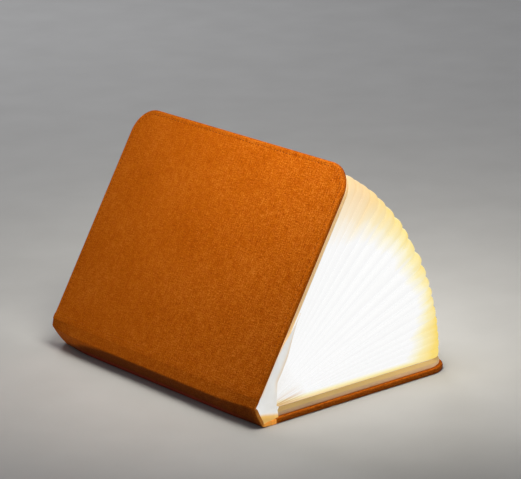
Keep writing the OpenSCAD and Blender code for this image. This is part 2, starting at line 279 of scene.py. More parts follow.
def linen(name, dark, mid, light, gain=1.0, painted_shade_and_rim=None):
    """Fine uneven plain weave, with thick threads both ways. The last argument holds darker tones painted as shade and
    a reddish colour painted as reflection along the rim of the spine's flat; with it the cloth also takes a painted
    orange glow at its turned-in ends.
    """
    k = Mat(name)
    v = k.attr("loc")
    x, y, z = k.sep(v)
    # threads wander a little
    wob = k.noise(v, 0.06, 2.0)
    wo = k.math("MULTIPLY", k.math("SUBTRACT", wob, 0.5), 2.0)
    xd, yd = k.math("ADD", x, wo), k.math("ADD", y, wo)
    p = math.pi / 0.47
    ax = k.math("ABSOLUTE", k.math("COSINE", k.math("MULTIPLY", xd, p)))
    ay = k.math("ABSOLUTE", k.math("COSINE", k.math("MULTIPLY", yd, p)))
    sx = k.math("SINE", k.math("MULTIPLY", xd, p))
    sy = k.math("SINE", k.math("MULTIPLY", yd, p))
    c = k.math("MULTIPLY", sx, sy)
    over = k.math("MULTIPLY_ADD", c, 0.5, 0.5)
    under = k.math("MULTIPLY_ADD", c, -0.5, 0.5)
    h = k.math("MAXIMUM", k.math("MULTIPLY", ax, over), k.math("MULTIPLY", ay, under))
    n1 = k.noise(k.comb(k.math("MULTIPLY", xd, 1.5), k.math("MULTIPLY", yd, 0.16), 3.0), 1.0, 3.0, 0.65)
    n2 = k.noise(k.comb(k.math("MULTIPLY", xd, 0.15), k.math("MULTIPLY", yd, 1.5), 9.0), 1.0, 3.0, 0.65)
    n3 = k.noise(v, 1.1, 3.0, 0.7)
    blot = k.noise(v, 0.03, 2.0, 0.5)
    s = k.math("ADD", k.math("SUBTRACT", n1, 0.5), k.math("SUBTRACT", n2, 0.5))
    f = k.math("MULTIPLY_ADD", s, 0.72 * gain, 0.5)
    f = k.math("MULTIPLY_ADD", k.math("SUBTRACT", n3, 0.5), 1.15 * gain, f)
    f = k.math("MULTIPLY_ADD", k.math("SUBTRACT", h, 0.45), 0.16, f)
    f = k.math("MULTIPLY_ADD", k.math("SUBTRACT", f, 0.5), k.mapr(y, 15.0, 150.0, 1.40, 0.78), 0.5)
    f = k.math("MULTIPLY_ADD", k.math("SUBTRACT", blot, 0.5), 0.22, f)
    col = k.ramp(f, [(0.18, dark), (0.5, mid), (0.85, light)])
    # patches of redder and yellower thread
    hue = k.noise(v, 0.22, 4.0, 0.7)
    col = k.mix(1.0, col, k.ramp(hue, [(0.38, (0.92, 0.82, 0.80)), (0.62, (1.0, 1.0, 1.0))]), "MULTIPLY")
    # painted shade by the first part of the glow attribute, painted reflection by the second, painted orange glow by
    # the third
    if painted_shade_and_rim:
        tx, ty, tz = k.sep(k.attr("glow"))
        col = k.mix(tx, col, k.ramp(f, [(0.18, painted_shade_and_rim[0]), (0.5, painted_shade_and_rim[1]), (0.85, painted_shade_and_rim[2])]))
        col = k.mix(ty, col, painted_shade_and_rim[3])
        k.b.inputs["Emission Color"].default_value = (1.0, 0.46, 0.085, 1.0)
        k.link(k.math("MULTIPLY", tz, k.mapr(n3, 0.3, 0.7, 0.50, 0.62)), k.b.inputs["Emission Strength"])
    k.link(col, k.b.inputs["Base Color"])
    k.link(k.mapr(f, 0.2, 0.8, 0.95, 0.85), k.b.inputs["Roughness"])
    k.b.inputs["Specular IOR Level"].default_value = 0.04
    k.b.inputs["Sheen Weight"].default_value = 0.10
    k.b.inputs["Sheen Roughness"].default_value = 0.22
    k.b.inputs["Sheen Tint"].default_value = (1.0, 0.88, 0.80, 1.0)
    hh = k.math("MULTIPLY_ADD", s, 0.8, k.math("MULTIPLY_ADD", n3, 0.8, h))
    k.bump(hh, 0.00012, 0.6)
    return k.m


def satin(name, base, vary=0.06, rough=0.45, grain=0.5, metal=0.0, emit=None, power=0.0, scale=0.25, streak=False, spec=0.5):
    """Moulded plastic, metal or film: slight mottling and a fine grain."""
    k = Mat(name)
    v = k.object_mm()
    if streak:
        v2 = k.vec("MULTIPLY", v, (0.15, 4.0, 4.0))
    else:
        v2 = v
    n = k.noise(v2, scale, 4.0, 0.6)
    g = k.noise(v2, 6.0 * grain, 2.0, 0.6)
    f = k.math("MULTIPLY_ADD", k.math("SUBTRACT", g, 0.5), 0.6, n)
    d = tuple(c * (1 - vary * 2.2) for c in base)
    l = tuple(min(1.0, c * (1 + vary)) for c in base)
    k.link(k.ramp(f, [(0.25, d), (0.75, l)]), k.b.inputs["Base Color"])
    k.link(k.mapr(f, 0.2, 0.8, rough + 0.08, rough - 0.06), k.b.inputs["Roughness"])
    k.b.inputs["Metallic"].default_value = metal
    k.b.inputs["Specular IOR Level"].default_value = spec
    if emit:
        k.b.inputs["Emission Color"].default_value = (*emit, 1.0)
        k.b.inputs["Emission Strength"].default_value = power
    k.bump(f, 0.00004, 0.6)
    return k.m


def paper(name):
    """Pleated lamp paper, lit from inside: white near the light, warm towards the outer folds and the trays."""
    k = Mat(name)
    g = k.attr("glow")
    r, s, q = k.sep(g)
    v = k.attr("loc")
    lx, ly, lz = k.sep(v)
    fib = k.noise(k.comb(k.math("MULTIPLY", lx, 0.9), k.math("MULTIPLY", ly, 0.9), lz), 1.0, 4.0, 0.7)
    # each pleat lets a slightly different amount through, in fingers along the fold
    fing = k.noise(k.comb(k.math("MULTIPLY", r, 2.0), k.math("MULTIPLY", s, 12.0), 0.0), 1.0, 2.0, 0.55)
    slow = k.noise(k.comb(k.math("MULTIPLY", r, 3.0), k.math("MULTIPLY", s, 2.5), 5.0), 1.0, 2.0, 0.5)
    up = k.math("SMOOTH_MIN", k.mapr(s, 0.15, 0.85, 0.0, 1.0), 1.0, 0.15)
    down = k.mapr(s, -0.45, -1.0, 0.0, 1.0)
    start = k.math("MULTIPLY_ADD", up, -0.185, 0.880)
    start = k.math("MULTIPLY_ADD", down, -0.135, start)
    over = k.math("SUBTRACT", r, start)
    over = k.math("MULTIPLY_ADD", k.math("SUBTRACT", fing, 0.5), 0.13, over)
    over = k.math("MULTIPLY_ADD", k.math("SUBTRACT", slow, 0.5), 0.08, over)
    width = k.math("MULTIPLY_ADD", up, 0.12, 0.155)
    a = k.math("DIVIDE", over, width, clamp=True)
    # the glow painted warmer along the seam where the last fold lies on the lower tray
    gap = k.math("MULTIPLY", k.math("MULTIPLY_ADD", r, 143.6, 5.4), k.math("MULTIPLY_ADD", s, 0.541, 0.541))
    seam = k.mapr(gap, 3.4, 0.3, 0.0, 0.82)
    a = k.math("MAXIMUM", a, seam)
    low = k.mix(k.mapr(r, 0.15, 0.6, 0.0, 1.0), (0.96, 0.64, 0.33), (1.0, 0.755, 0.195))
    warm = k.mix(up, low, (0.97, 0.70, 0.38))
    soft = k.mix(up, (1.0, 0.915, 0.56), (0.985, 0.86, 0.66))
    col = k.mix(k.mapr(a, 0.0, 0.5, 0.0, 1.0), (0.985, 0.985, 0.985), soft)
    col = k.mix(k.mapr(a, 0.4, 1.0, 0.0, 1.0), col, warm)
    # painted shade: darker, golden creases where the folds come together at the hinge
    hinge_shade_mask = k.mapr(r, 0.18, 0.03, 0.0, 1.0)
    fan = k.noise(k.comb(k.math("MULTIPLY", r, 2.5), k.math("MULTIPLY", s, 34.0), 2.0), 1.0, 2.0, 0.6)
    line = k.math("MULTIPLY", hinge_shade_mask, k.mapr(fan, 0.43, 0.54, 0.0, 1.0))
    crease_shade_gold = k.math("MULTIPLY", line, k.mapr(s, -0.30, -0.72, 0.0, 1.0))
    col = k.mix(k.math("MULTIPLY", line, 0.45), col, (0.93, 0.86, 0.76))
    col = k.mix(crease_shade_gold, col, (0.70, 0.40, 0.14))
    k.link(col, k.b.inputs["Emission Color"])
    st = k.mapr(a, 0.0, 1.0, 0.905, 0.895)
    # painted shade: the glow dims a little deeper into the folds
    st = k.math("MULTIPLY", st, k.mapr(q, 0.02, 0.5, 1.0, 0.995))
    st = k.math("MULTIPLY", st, k.mapr(fib, 0.2, 0.8, 0.993, 1.006))
    st = k.math("MULTIPLY", st, k.mapr(fing, 0.3, 0.7, 0.99, 1.008))
    # painted shade: the glow dims along those creases
    st = k.math("MULTIPLY", st, k.mapr(k.math("MULTIPLY", hinge_shade_mask, k.mapr(fan, 0.3, 0.7, 0.4, 1.0)), 0.0, 1.0, 1.0, 0.88))
    k.link(st, k.b.inputs["Emission Strength"])
    k.link(k.mix(1.0, col, k.ramp(fib, [(0.2, (0.10, 0.10, 0.10)), (0.8, (0.115, 0.115, 0.115))]), "MULTIPLY"), k.b.inputs["Base Color"])
    k.b.inputs["Roughness"].default_value = 0.85
    k.b.inputs["Specular IOR Level"].default_value = 0.10
    k.bump(fib, 0.00004, 0.4)
    return k.m


def lit_paper(name, base, emit, power, warm=None):
    """Plain paper with the lamp behind it. warm: a second glow, mixed in by the first part of the glow attribute."""
    k = Mat(name)
    v = k.object_mm()
    fib = k.noise(v, 1.1, 4.0, 0.7)
    slow = k.noise(v, 0.12, 2.0, 0.5)
    b = k.ramp(fib, [(0.2, tuple(c * 0.93 for c in base)), (0.8, base)])
    e = k.ramp(slow, [(0.3, emit), (0.7, tuple(min(1, c * 1.04) for c in emit))])
    st = k.mapr(slow, 0.3, 0.7, power * 0.95, power * 1.04)
    if warm:
        gx, gy, gz = k.sep(k.attr("glow"))
        # painted light: the first part of the glow attribute warms the glow and the colour, the second dims the glow as
        # painted shade
        e = k.mix(gx, e, warm)
        b = k.mix(gx, b, tuple(c * 0.5 for c in warm))
        # painted shade: a warmer, dimmer line by the third part along the flap's crease
        e = k.mix(gz, e, (1.0, 0.80, 0.58))
        st = k.math("MULTIPLY", st, k.mapr(gy, 0.0, 1.0, 1.0, 0.72))
        st = k.math("MULTIPLY", st, k.mapr(gz, 0.0, 1.0, 1.0, 0.98))
    k.link(b, k.b.inputs["Base Color"])
    k.link(e, k.b.inputs["Emission Color"])
    k.link(st, k.b.inputs["Emission Strength"])
    k.b.inputs["Roughness"].default_value = 0.8
    k.b.inputs["Specular IOR Level"].default_value = 0.15
    k.bump(fib, 0.00004, 0.5)
    return k.m


def tray_plastic(name, low, high, glow):
    """Moulded tray: the upright rim and the sloped top differ a little in tone."""
    k = Mat(name)
    v = k.object_mm()
    n = k.noise(v, 0.05, 3.0, 0.5)
    g = k.noise(v, 3.0, 2.0, 0.6)
    f = k.math("MULTIPLY_ADD", k.math("SUBTRACT", g, 0.5), 0.4, n)
    a = k.ramp(f, [(0.25, tuple(c * 0.86 for c in low)), (0.75, low)])
    b = k.ramp(f, [(0.25, tuple(c * 0.86 for c in high)), (0.75, high)])
    gx, gy, gz = k.sep(k.attr("glow"))
    k.link(k.mix(gx, a, b), k.b.inputs["Base Color"])
    # painted glow: the tray shines as if lit by the lamp, by the second part of the glow attribute
    k.link(k.mix(gx, glow, tuple(c * 0.8 for c in glow)), k.b.inputs["Emission Color"])
    k.link(k.math("MULTIPLY", gy, k.mapr(n, 0.3, 0.7, 0.94, 1.04)), k.b.inputs["Emission Strength"])
    k.link(k.mapr(f, 0.2, 0.8, 0.52, 0.42), k.b.inputs["Roughness"])
    k.b.inputs["Specular IOR Level"].default_value = 0.25
    k.bump(f, 0.00003, 0.5)
    return k.m


LINEN = ((0.305, 0.052, 0.0006), (0.520, 0.116, 0.0014), (0.715, 0.222, 0.024))
# darker tones painted as shade on the spine's flat and the covers' rolled edges, and a reddish colour painted as
# reflection on the flat's rim
PAINTED_SHADE_AND_RIM = ((0.100, 0.019, 0.0010), (0.170, 0.036, 0.0020), (0.260, 0.066, 0.008), (0.300, 0.034, 0.016))
CLOTH_M = linen("cover_linen", *LINEN, painted_shade_and_rim=PAINTED_SHADE_AND_RIM)
SPINE_M = linen("spine_linen", *LINEN, painted_shade_and_rim=PAINTED_SHADE_AND_RIM)
THREAD_M = satin("stitch_thread", (0.165, 0.026, 0.003), 0.12, 0.80, 1.2, spec=0.05)
TRAY_M = tray_plastic("moulded_tray", (0.63, 0.42, 0.270), (0.61, 0.41, 0.150), (1.0, 0.63, 0.27))
PAPER_M = paper("pleated_paper")
GUSSET_M = lit_paper("gusset_paper", (0.36, 0.36, 0.35), (1.0, 0.985, 0.94), 0.61, warm=(1.0, 0.60, 0.17))
OTHERS = {
    "board": satin("grey_board", (0.42, 0.35, 0.26), 0.10, 0.85, 0.9, spec=0.2),
    "magnet": satin("nickel_plate", (0.70, 0.71, 0.73), 0.03, 0.25, 0.4, metal=1.0),
    "end_paper": lit_paper("end_paper_sheet", (0.60, 0.58, 0.52), (1.0, 0.96, 0.88), 0.30),
    "bar": satin("bar_plastic", (0.86, 0.86, 0.82), 0.03, 0.40, 0.4),
    "diffuser": satin("frosted_diffuser", (0.95, 0.93, 0.86), 0.02, 0.55, 0.6, emit=(1.0, 0.90, 0.68), power=2.5),
    "screw": satin("steel_screw", (0.52, 0.53, 0.55), 0.06, 0.30, 0.8, metal=1.0),
    "led_board": satin("white_lamp_board", (0.88, 0.89, 0.87), 0.03, 0.35, 0.5),
    "led": satin("lamp_chip", (0.95, 0.78, 0.30), 0.04, 0.30, 0.5, emit=(1.0, 0.86, 0.58), power=4.0),
    "battery": satin("battery_film", (0.10, 0.22, 0.42), 0.08, 0.28, 0.3),
    "circuit_board": satin("solder_mask", (0.02, 0.16, 0.06), 0.15, 0.30, 0.8),
    "socket": satin("socket_steel", (0.66, 0.67, 0.69), 0.04, 0.28, 0.6, metal=1.0, streak=True),
    "light_pipe": satin("clear_pipe", (0.80, 0.86, 0.90), 0.02, 0.12, 0.4),
    "reed_glass": satin("reed_capsule", (0.40, 0.62, 0.56), 0.06, 0.10, 0.4),
    "wire": satin("wire_sleeve", (0.45, 0.03, 0.02), 0.08, 0.45, 0.6),
    "cover_cloth": CLOTH_M, "tray": TRAY_M, "pleat_paper": GUSSET_M,
}
SLOT_OF = {s["node"]: s["material_slot"] for s in frame["record"]["subparts"]}
for n, o in NODES.items():
    m = OTHERS[SLOT_OF[n]]
    if not o.material_slots:
        o.data.materials.append(m)
    for sl in o.material_slots:
        sl.material = m

# ------------------------------------------------------------ cover cloth
STITCH_IN = 3.3


def groove(depth):
    return lambda x, y, hinge: 0.0 if hinge else 0.5 * depth * smooth((x - GAP) / 3.0)


def roll(c_inset, c_z, r, a0, a1, n, hinge):
    return [(c_inset - r * math.sin(a), hinge, c_z - r * math.cos(a))
            for a in [math.radians(a0 + (a1 - a0) * i / n) for i in range(n + 1)]]


def cover_skin(name, place, shade):
    g = GAP
    rings = [(9.0, g + 3.0, 0.0), (4.6, g + 0.6, 0.0), (3.9, g + 0.3, groove(0.07)), (3.55, g + 0.2, groove(0.16)),
             (3.05, g + 0.15, groove(0.16)), (2.7, g + 0.1, groove(0.07)), (2.0, g + 0.05, 0.0)]
    rings += [(i, g + 0.03 * (i / 1.3), z) for i, h, z in roll(1.3, 1.3, 1.3, 0, 90, 6, g)]
    rings += [(1.1 - 1.1 * math.cos(a), g, CT - 1.1 + 1.1 * math.sin(a)) for a in [math.radians(15 * j) for j in range(7)]]
    rings += [(5.0, g + 5.0, CT), (13.6, g + 13.6, CT), (14.0, g + 14.0, CT - 0.15), (14.0, g + 14.0, CT - 0.46),
              (0.47, g + 0.47, CT - 0.46), (0.47, g + 0.47, 0.46)]
    fixed = []
    for inset, hinge, z in rings:
        fixed.append((inset, hinge, z))
    verts, loc, tone = [], [], []
    s, last, n = 0.0, None, None
    for inset, hinge, z in fixed:
        zc = 0.0 if callable(z) else z
        if last is not None:
            s += math.hypot(inset - last[0], zc - last[1])
        last = (inset, zc)
        pts = outline(hinge, W - inset, inset, H - inset, max(RC - inset, 1.2))
        n = len(pts)
        for x, y, nx, ny, hg in pts:
            zz = z(x, y, hg) if callable(z) else z
            verts.append(place(x, y, zz))
            # painted shade: the rolled edge away from the hinge darkens towards the darker tones by shade(nx)
            tone.append((shade(nx) * smooth((1.1 - inset) / 0.85) if zc > 0.02 and not hg else 0.0, 0.0, 0.0))
            k = s - 9.0 + inset
            loc.append((x + (0 if hg else nx * k), y + ny * k, 0.0))
    faces = grid_faces(len(fixed), n, loop_v=True)
    faces.append(tuple(range(n)))
    b = (len(fixed) - 1) * n
    faces.append(tuple(range(b, b + n)))
    return make(name, verts, faces, CLOTH_M, loc=loc, glow=tone, sharp=35)


# painted shade: the standing cover's roll darkens towards the fore-edge, the lying cover's all round
front_skin = cover_skin("front_cover_skin", front_pt, lambda nx: 0.55 * smooth((nx - 0.2) / 0.5))
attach(front_skin, "front_cover"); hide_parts("front_cloth")
back_skin = cover_skin("back_cover_skin", back_pt, lambda nx: 0.58)
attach(back_skin, "back_cover"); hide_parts("back_cloth")


def stitches(name, place):
    """Short sunk stitches along the head, the fore-edge and the tail."""
    path = []
    r = RC - STITCH_IN
    x0, x1, y0, y1 = GAP + 5.0, W - STITCH_IN, STITCH_IN, H - STITCH_IN
    n = 200
    for i in range(n):
        path.append((x0 + (x1 - r - x0) * i / n, y0))
    for i in range(61):
        a = -math.pi / 2 + i * math.pi / 120
        path.append((x1 - r + r * math.cos(a), y0 + r + r * math.sin(a)))
    for i in range(1, n):
        path.append((x1, y0 + r + (y1 - y0 - 2 * r) * i / n))
    for i in range(61):
        a = i * math.pi / 120
        path.append((x1 - r + r * math.cos(a), y1 - r + r * math.sin(a)))
    for i in range(n, -1, -1):
        path.append((x0 + (x1 - r - x0) * i / n, y1))
    P = np.array(path)
    L = np.concatenate([[0], np.cumsum(np.hypot(*np.diff(P, axis=0).T))])
    at = lambda s: np.array([np.interp(s, L, P[:, 0]), np.interp(s, L, P[:, 1])])
    verts, faces, loc = [], [], []
    pitch, length, k = 3.1, 1.6, 0
    s = 0.5
    while s + length < L[-1]:
        base = len(verts)
        segs, m = 5, 8
        jig = 0.06 * wave(k, k * 0.7)
        for i in range(segs + 1):
            t = i / segs
            c = at(s + t * length)
            e = at(s + t * length + 0.05) - at(s + t * length - 0.05)
            e = e / np.hypot(*e)
            nrm = np.array([-e[1], e[0]])
            rad = 0.19 * math.sqrt(max(0.02, 1 - (2 * t - 1) ** 4))
            zc = 0.07 + 0.16 * (2 * t - 1) ** 4
            for j in range(m):
                a = 2 * math.pi * j / m
                q = c + nrm * (rad * math.cos(a) + jig)
                verts.append(place(q[0], q[1], zc - 0.75 * rad * math.sin(a)))
                loc.append((q[0], q[1], a))
        faces += grid_faces(segs + 1, m, base, loop_v=True)
        faces.append(tuple(range(base, base + m)))
        faces.append(tuple(range(base + segs * m, base + segs * m + m)))
        s += pitch
        k += 1
    return make(name, verts, faces, THREAD_M, loc=loc, sharp=60)


for name, place, body in (("front_stitching", front_pt, "front_cover"), ("back_stitching", back_pt, "back_cover")):
    o = stitches(name, place)
    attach(o, body)


# ------------------------------------------------------- spine and hinges
def strip(name, path, thick, mat, loc0=0.0, y0=0.0, y1=H, step=7.0, shift=None, glow=None):
    """A bent sheet of cloth along the spine. path holds the outer section as (depth, lateral); thick(l, y) its thickness;
    shift(l, y) how far the sheet sinks into the book there."""
    P = np.array(path, float)
    n = len(P)
    d = np.gradient(P, axis=0)
    d /= np.hypot(d[:, 0], d[:, 1])[:, None]
    N = np.stack([-d[:, 1], d[:, 0]], 1)
    if N[n // 2] @ np.array([1.0, 0.0]) < 0:
        N = -N
    S = np.concatenate([[0], np.cumsum(np.hypot(*np.diff(P, axis=0).T))]) + loc0
    ends = [(0.0, 0.5), (0.1, 0.26), (0.28, 0.08), (0.6, 0.0)]
    ys = [(y0 + a, b) for a, b in ends]
    near = [1.4, 2.4, 3.4, 4.6, 6.0, 8.0, 10.5, 13.5, 17.0, 21.0, 25.5, 30.0]
    ys += [(y0 + a, 0.0) for a in near]
    m = max(2, int((y1 - y0 - 72) / step))
    ys += [(y0 + 36 + (y1 - y0 - 72) * i / m, 0.0) for i in range(m + 1)]
    ys += [(y1 - a, 0.0) for a in reversed(near)]
    ys += [(y1 - a, b) for a, b in reversed(ends)]
    verts, loc, tone = [], [], []
    for y, e in ys:
        ring = []
        for i in range(n):
            t = thick(P[i][1], y)
            r = min(0.5, t * 0.5) / t * 2 * e
            ring.append((P[i] + N[i] * t * r, i, False))
        for i in reversed(range(n)):
            t = thick(P[i][1], y)
            r = min(0.5, t * 0.5) / t * 2 * e
            ring.append((P[i] + N[i] * t * (1 - r * 0.98), i, True))
        for p, i, inside in ring:
            dd = shift(P[i][1], y) if shift else 0.0
            verts.append(spine_pt(p[0] + dd, y, p[1]))
            loc.append((S[i], y, 0.0))
            tone.append(glow(P[i][1], y, inside) if glow else (0.0, 0.0, 0.0))
    faces = grid_faces(len(ys), 2 * n, loop_v=True)
    for b in (0, (len(ys) - 1) * 2 * n):
        for i in range(n - 1):
            faces.append((b + i, b + i + 1, b + 2 * n - 2 - i, b + 2 * n - 1 - i))
    return make(name, verts, faces, mat, loc=loc, glow=tone, sharp=50)


def rounded(points, r, n=6):
    """A section line with its inner corners rounded by radius r."""
    out = [tuple(points[0])]
    for i in range(1, len(points) - 1):
        a, b, c = (np.array(p, float) for p in points[i - 1:i + 2])
        u, v = (a - b) / np.linalg.norm(a - b), (c - b) / np.linalg.norm(c - b)
        ang = math.acos(max(-1, min(1, float(u @ v))))
        if math.pi - ang < 0.02:
            out.append(tuple(b))
            continue
        k = r / math.tan(ang / 2)
        k = min(k, 0.45 * np.linalg.norm(a - b), 0.45 * np.linalg.norm(c - b))
        rr = k * math.tan(ang / 2)
        mid = (u + v) / np.linalg.norm(u + v)
        ctr = b + mid * rr / math.sin(ang / 2)
        p0, p1 = b + u * k - ctr, b + v * k - ctr
        a0, a1 = math.atan2(p0[1], p0[0]), math.atan2(p1[1], p1[0])
        da = (a1 - a0 + math.pi) % (2 * math.pi) - math.pi
        for j in range(n + 1):
            t = a0 + da * j / n
            out.append(tuple(ctr + rr * np.array([math.cos(t), math.sin(t)])))
    out.append(tuple(points[-1]))
    return out


def densify(path, step):
    out = [path[0]]
    for a, b in zip(path[:-1], path[1:]):
        k = max(1, int(math.hypot(b[0] - a[0], b[1] - a[1]) / step))
        for i in range(1, k + 1):
            out.append((a[0] + (b[0] - a[0]) * i / k, a[1] + (b[1] - a[1]) * i / k))
    return out


we = wing(GAP, 0)
spine_path = rounded([(we[0], -we[1]), (0.0, -FLAT / 2), (0.0, FLAT / 2), we], 1.3)
spine_path = densify(spine_path, 1.0)
spine_path = [(d - 0.30 * max(0.0, 1 - (l / (FLAT / 2 - 0.6)) ** 2) if d < 0.02 else d, l) for d, l in spine_path]
TAIL_T = [0, 3, 6.8, 7.5, 9.5, 11, 15, 20, 25, 33]
TAIL_F = [3.0, 2.55, 1.9, 1.9, 1.75, 1.6, 1.2, 0.6, 0.35, 0.0]
TAIL_B = [3.75, 3.15, 1.9, 1.9, 1.85, 1.75, 1.35, 0.7, 0.4, 0.0]


def sink(l, y):
    """How far the spine's cloth has drawn into the book towards its ends."""
    k = min(1.0, max(0.0, (HALF - 0.4 - abs(l)) / (HALF - 0.4 - FLAT / 2)))
    f = min(1.0, max(0.0, (l + FLAT / 2) / FLAT))
    t = H - y
    tail = float(np.interp(t, TAIL_T, TAIL_B)) * (1 - f) + float(np.interp(t, TAIL_T, TAIL_F)) * f
    head = (0.75 + 1.25 * f) * (1 - smooth(y / 40))
    return k * (tail + min(head, 1.9))


def turn_in(l, y):
    """The spine's thickness: doubled over its board at the ends, and fuller towards the covers."""
    e = 1 - smooth((min(y, H - y) - 3.2) / 2.6)
    flat = 1 - smooth((abs(l) - 5.2) / 1.9)
    side = smooth((abs(l) - 6.4) / 5.6)
    return WALL + e * (1.5 * flat + 0.35 * (1 - flat) * (1 - side) + 2.2 * side)


def lit_end(l, y, inside):
    """How strongly the lamp shines through the turned-in ends, most on the lying side."""
    near = (1 - smooth((min(y, H - y) - 3.5) / 3.0)) if inside else (1 - smooth((min(y, H - y) - 0.15) / 0.4))
    return near * (0.12 + 0.20 * smooth((6.8 - l) / 4.0) + 0.55 * smooth((-l - 6.8) / 2.0)) * smooth((11.0 - l) / 4.0)


# painted shade over the spine's flat, a painted reddish reflection along its lower rim, and the painted glow of the
# ends
def spine_painted_light(l, y, inside):
    t = H - y
    # painted shade: the flat darkens, its border running diagonally near the tail and easing at the head end, with a
    # faint band beside it on the front side
    edge = float(np.interp(t, [0, 8, 20, 33, 60, 400], [-9.0, -7.8, -3.0, 3.2, 7.0, 7.0]))
    wide = 1.6 + 2.6 * (1 - smooth((t - 8) / 45))
    a = (1 - smooth((l - edge + 0.5 * wide) / wide)) * (1 - 0.45 * (1 - smooth(y / 9)))
    # painted reflection: a reddish rim along the flat's lower side
    rim = (1 - smooth((l + 3.9) / 2.0)) * smooth((t - 16) / 24) * smooth(y / 45)
    return (max(a, 0.16 * smooth((l - 7.4) / 1.5) * (1 - smooth((l - 11.0) / 1.5))), 0.85 * rim, lit_end(l, y, inside))


spine_skin = strip("spine_skin", spine_path, turn_in, SPINE_M, shift=sink, glow=spine_painted_light)
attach(spine_skin, "spine"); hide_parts("spine_cloth")


def hinge_skin(name, ang, side, cover, node):
    pts = [wing(GAP, 0), wing(0.0, 0), (HD + GAP * math.cos(ang), HALF + GAP * math.sin(ang))]
    path = densify(rounded(pts, 4.0, 8), 0.5)
    n = len(path)
    S = np.concatenate([[0], np.cumsum([math.hypot(b[0] - a[0], b[1] - a[1]) for a, b in zip(path[:-1], path[1:])])])
    S /= S[-1]
    path = [(d, side * l) for d, l in path]
    l0, l1 = abs(path[0][1]), abs(path[-1][1])
    run = lambda l: min(1.0, max(0.0, (abs(l) - l0) / (l1 - l0)))
    e = lambda y: 1 - smooth((min(y, H - y) - 3.2) / 2.6)
    o = strip(name, path, lambda l, y: WALL + (CLOTH - WALL) * run(l) + e(y) * (turn_in(l0, 0.0) - WALL + (3.3 - CLOTH - turn_in(l0, 0.0) + WALL) * run(l)),
              SPINE_M, loc0=0.0, glow=lambda l, y, inside: (0.0, 0.0, lit_end(l, y, inside)))
    for i, v in enumerate(o.data.attributes["loc"].data):
        x, y, z = v.vector
        v.vector = (x - 2.0, y, z)
    c = spine_pt(HD, H / 2, side * HALF)
    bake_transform(o, "spine", cover, tuple(x / 1000 for x in spine_pt(we[0], H / 2, side * we[1])), tuple(x / 1000 for x in spine_pt(path[-1][0], H / 2, path[-1][1])))
    m = len(o.data.vertices) // (2 * n)
    row = [smooth(t) for t in S] + [smooth(t) for t in S[::-1]]
    set_weights(o, row * m)
    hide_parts(node)
    return o


hinge_skin("front_hinge_skin", FO, 1, "front_cover", "front_hinge_cloth")
hinge_skin("back_hinge_skin", BO, -1, "back_cover", "back_hinge_cloth")


# ------------------------------------------------------------------- trays
def tray(name, place, body, node, lit):
    """A hollow moulded frame under the end paper, its top edge sloped, its foot set back from the cover's edge."""
    z0, z1 = CT + 0.03, CT + TT
    wall = 1.2
    rings = [(0.85, TS + 0.3, z0), (0.85, TS + 0.3, z0 + 0.5), (0.25, TS + 0.1, z0 + 0.62), (0.0, TS, z0 + 0.8), (0.0, TS, z0 + 2.9)]
    rings += [(0.35 * (1 - math.cos(a)), TS + 0.2 * (1 - math.cos(a)), z0 + 2.9 + 0.35 * math.sin(a)) for a in (0.5, 1.0)]
    rings += [(1.25, TS + 0.5, z1 - 0.22), (1.42, TS + 0.6, z1 - 0.06), (1.62, TS + 0.75, z1), (6.0, TS + 5.0, z1)]
    inner = [(6.0, TS + 5.0, z1 - 1.2), (wall + 1.4, TS + wall + 0.6, z1 - 1.2), (wall + 0.6, TS + wall, z0 + 3.0), (wall + 0.6, TS + wall, z0)]
    verts, tone = [], []
    n = None
    allr = rings + inner
    for inset, hinge, z in allr:
        pts = outline(hinge, W - TI - inset, TI + inset, H - TI - inset, max(RC - TI - inset, 1.2))
        n = len(pts)
        verts += [place(x, y, z) for x, y, *_ in pts]
        # painted glow, growing towards the fore-edge, strongest on the standing cover's tray
        tone += [(smooth((z - z0 - 2.7) / 0.6), lit[0] + lit[1] * max(0.0, x / W) ** 1.5, 0.0) for x, *_ in pts]
    faces = []
    k = len(rings)
    faces += grid_faces(k, n, 0, loop_v=True)
    faces += grid_faces(len(inner), n, k * n, loop_v=True)
    faces.append(tuple(range((k - 1) * n, k * n)))
    faces.append(tuple(range(k * n, (k + 1) * n)))
    b = (len(allr) - 1) * n
    for j in range(n):
        faces.append((j, (j + 1) % n, b + (j + 1) % n, b + j))
    o = make(name, verts, faces, TRAY_M, glow=tone, sharp=35)
    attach(o, body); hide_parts(node)
    return o


tray("front_tray_shell", front_pt, "front_cover", "front_tray", (0.50, 0.12))
tray("back_tray_shell", back_pt, "back_cover", "back_tray", (0.10, 0.20))

# ----------------------------------------------------------------- bellows
VALLEYS = {1: [0.08, 0.19, 0.32, 0.47, 0.60, 0.72, 0.83, 0.92, 1.0],
           -1: [0.08, 0.20, 0.32, 0.41, 0.49, 0.58, 0.67, 0.735, 0.795, 0.86, 0.93, 1.0]}
ACROSS = [-1.0, -0.97, -0.94, -0.91, -0.80, -0.64, -0.46, -0.24, 0.0, 0.24, 0.46, 0.64, 0.80, 0.91, 0.94, 0.97, 1.0]


def reach(sw):
    """How far a fold's outer edge stands beyond the flat pleats' outline."""
    return min(4.1, 4.9 - (5.2 * sw if sw > 0 else -6.6 * sw))


